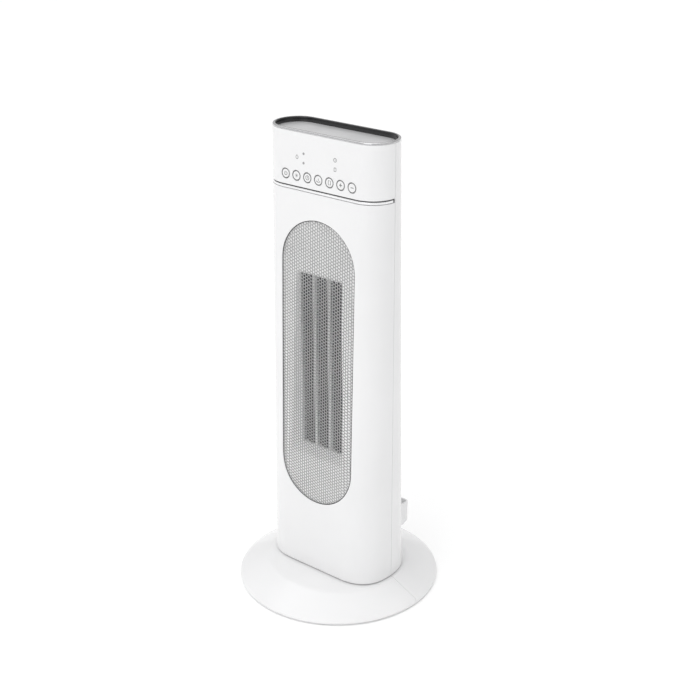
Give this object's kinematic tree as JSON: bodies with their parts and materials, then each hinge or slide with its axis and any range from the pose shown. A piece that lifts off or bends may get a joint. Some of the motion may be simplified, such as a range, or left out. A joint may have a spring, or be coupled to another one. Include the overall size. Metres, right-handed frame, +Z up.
{
  "type": "ceramic tower heater",
  "caption": "Oscillating ceramic tower heater: flat oval casing on a round swivel foot, ringed front keys, perforated outlet grille, rear intake with lift-off filter.",
  "frame": {"origin": "on the floor under the swivel axis, at the centre of the round foot", "axes": "+Z up along the tower; the outlet grille and the keys face -Y; +X is to the right seen from in front of the keys"},
  "size_m": [0.2706, 0.271, 0.62],
  "materials": {
    "accent_band": "bright chrome strip",
    "ballast_plate": "cast ballast ring, black",
    "base_front_half": "glossy white moulded ABS",
    "base_rear_half": "glossy white moulded ABS",
    "base_screw_1": "zinc-plated screw",
    "base_screw_2": "zinc-plated screw",
    "blower_housing": "black scroll",
    "blower_motor": "motor can",
    "blower_shaft": "ground steel shaft",
    "blower_wheel": "black cross-flow wheel",
    "bottom_plate": "white moulded plate",
    "casing_screw_1": "zinc-plated screw",
    "casing_screw_2": "zinc-plated screw",
    "casing_screw_3": "zinc-plated screw",
    "casing_screw_4": "zinc-plated screw",
    "control_board": "green circuit board",
    "control_fascia": "glossy white moulded ABS",
    "cord_gland": "stiff rubber bush",
    "core_frame": "dark heat-proof frame",
    "crank_disc": "acetal crank",
    "drive_arm": "pressed steel arm",
    "dust_filter": "fine nylon mesh",
    "equipment_shelf": "pressed steel shelf",
    "fin_stack_1": "folded aluminium fins",
    "fin_stack_2": "folded aluminium fins",
    "fin_stack_3": "folded aluminium fins",
    "foot_pad_1": "soft rubber",
    "foot_pad_2": "soft rubber",
    "foot_pad_3": "soft rubber",
    "foot_pad_4": "soft rubber",
    "front_shell": "glossy white moulded ABS",
    "heater_bar_1": "ceramic heating bar",
    "heater_bar_2": "ceramic heating bar",
    "hub_retainer": "pressed steel washer",
    "intake_grille": "white moulded louvre",
    "key_1": "glossy white key with a grey ring",
    "key_2": "glossy white key with a grey ring",
    "key_3": "glossy white key with a grey ring",
    "key_4": "glossy white key with a grey ring",
    "key_5": "glossy white key with a grey ring",
    "key_6": "glossy white key with a grey ring",
    "key_7": "glossy white key with a grey ring",
    "lower_glide_ring": "acetal ring",
    "motor_bracket": "pressed steel bracket",
    "outlet_duct": "heat-proof moulding",
    "outlet_grille": "grey perforated sheet",
    "pivot_hub": "acetal hub",
    "power_board": "green circuit board",
    "power_rocker": "black rocker",
    "rear_shell": "glossy white moulded ABS",
    "remote_pocket": "glossy white moulded pocket",
    "switch_frame": "black switch frame",
    "swivel_motor": "geared synchronous motor can",
    "thermal_cutout": "phenolic cut-out",
    "tip_plunger": "red plunger",
    "tip_switch_body": "black switch case",
    "top_panel": "brushed silver plate",
    "top_trim_ring": "dark chrome rim",
    "upper_bearing": "rubber-mounted bearing",
    "upper_glide_ring": "acetal ring"
  },
  "bodies": {
    "base": {"base_front_half": "base_front_half", "base_rear_half": "base_rear_half", "ballast_plate": "ballast_plate", "base_screw_1": "base_screw_1", "base_screw_2": "base_screw_2", "foot_pad_1": "foot_pad_1", "foot_pad_2": "foot_pad_2", "foot_pad_3": "foot_pad_3", "foot_pad_4": "foot_pad_4", "tip_switch_body": "tip_switch_body", "pivot_hub": "pivot_hub", "lower_glide_ring": "lower_glide_ring", "upper_glide_ring": "upper_glide_ring", "hub_retainer": "hub_retainer", "drive_arm": "drive_arm"},
    "tip_plunger": {"tip_plunger": "tip_plunger"},
    "tower": {"swivel_motor": "swivel_motor", "bottom_plate": "bottom_plate", "equipment_shelf": "equipment_shelf", "front_shell": "front_shell", "accent_band": "accent_band", "control_fascia": "control_fascia", "rear_shell": "rear_shell", "top_trim_ring": "top_trim_ring", "top_panel": "top_panel", "control_board": "control_board", "outlet_grille": "outlet_grille", "outlet_duct": "outlet_duct", "core_frame": "core_frame", "fin_stack_1": "fin_stack_1", "fin_stack_2": "fin_stack_2", "fin_stack_3": "fin_stack_3", "heater_bar_1": "heater_bar_1", "heater_bar_2": "heater_bar_2", "thermal_cutout": "thermal_cutout", "blower_motor": "blower_motor", "motor_bracket": "motor_bracket", "blower_housing": "blower_housing", "upper_bearing": "upper_bearing", "power_board": "power_board", "switch_frame": "switch_frame", "remote_pocket": "remote_pocket", "cord_gland": "cord_gland", "casing_screw_1": "casing_screw_1", "casing_screw_2": "casing_screw_2", "casing_screw_3": "casing_screw_3", "casing_screw_4": "casing_screw_4"},
    "crank": {"crank_disc": "crank_disc"},
    "blower": {"blower_wheel": "blower_wheel", "blower_shaft": "blower_shaft"},
    "intake": {"intake_grille": "intake_grille", "dust_filter": "dust_filter"},
    "rocker": {"power_rocker": "power_rocker"},
    "key_1": {"key_1": "key_1"},
    "key_2": {"key_2": "key_2"},
    "key_3": {"key_3": "key_3"},
    "key_4": {"key_4": "key_4"},
    "key_5": {"key_5": "key_5"},
    "key_6": {"key_6": "key_6"},
    "key_7": {"key_7": "key_7"}
  },
  "joints": [
    {"name": "tower_swivel", "type": "hinge", "parent": "base", "child": "tower", "pos_m": [0, 0, 0.03], "axis": [0, 0, 1], "range_deg": [-35, 35]},
    {"name": "crank_turn", "type": "hinge", "parent": "tower", "child": "crank", "pos_m": [0.03584, 0, 0.043], "axis": [0, 0, 1], "range_deg": [-90.5, 90.5]},
    {"name": "blower_spin", "type": "hinge", "parent": "tower", "child": "blower", "pos_m": [0, 0.01043, 0.32], "axis": [0, 0, 1], "continuous": true},
    {"name": "key_1_press", "type": "slide", "parent": "tower", "child": "key_1", "axis": [0, 0.9994, -0.0334], "range_m": [0, 0.0008], "stiffness_N_per_m": 400, "springref_m": -0.0005},
    {"name": "key_2_press", "type": "slide", "parent": "tower", "child": "key_2", "axis": [0, 0.9994, -0.0334], "range_m": [0, 0.0008], "stiffness_N_per_m": 400, "springref_m": -0.0005},
    {"name": "key_3_press", "type": "slide", "parent": "tower", "child": "key_3", "axis": [0, 0.9994, -0.0334], "range_m": [0, 0.0008], "stiffness_N_per_m": 400, "springref_m": -0.0005},
    {"name": "key_4_press", "type": "slide", "parent": "tower", "child": "key_4", "axis": [0, 0.9994, -0.0334], "range_m": [0, 0.0008], "stiffness_N_per_m": 400, "springref_m": -0.0005},
    {"name": "key_5_press", "type": "slide", "parent": "tower", "child": "key_5", "axis": [0, 0.9994, -0.0334], "range_m": [0, 0.0008], "stiffness_N_per_m": 400, "springref_m": -0.0005},
    {"name": "key_6_press", "type": "slide", "parent": "tower", "child": "key_6", "axis": [0, 0.9994, -0.0334], "range_m": [0, 0.0008], "stiffness_N_per_m": 400, "springref_m": -0.0005},
    {"name": "key_7_press", "type": "slide", "parent": "tower", "child": "key_7", "axis": [0, 0.9994, -0.0334], "range_m": [0, 0.0008], "stiffness_N_per_m": 400, "springref_m": -0.0005},
    {"name": "intake_pull", "type": "slide", "parent": "tower", "child": "intake", "axis": [0, 0.9994, 0.0334], "range_m": [0, 0.05]},
    {"name": "rocker_tilt", "type": "hinge", "parent": "tower", "child": "rocker", "pos_m": [-0.028, 0.04906, 0.088], "axis": [1, 0, 0], "range_deg": [-18, 0]},
    {"name": "plunger_drop", "type": "slide", "parent": "base", "child": "tip_plunger", "axis": [0, 0, -1], "range_m": [0, 0.003], "stiffness_N_per_m": 60, "springref_m": 0.005}
  ],
  "couplings": [
    {"joint": "crank_turn", "follows": "tower_swivel", "ratio": -2.5714}
  ]
}
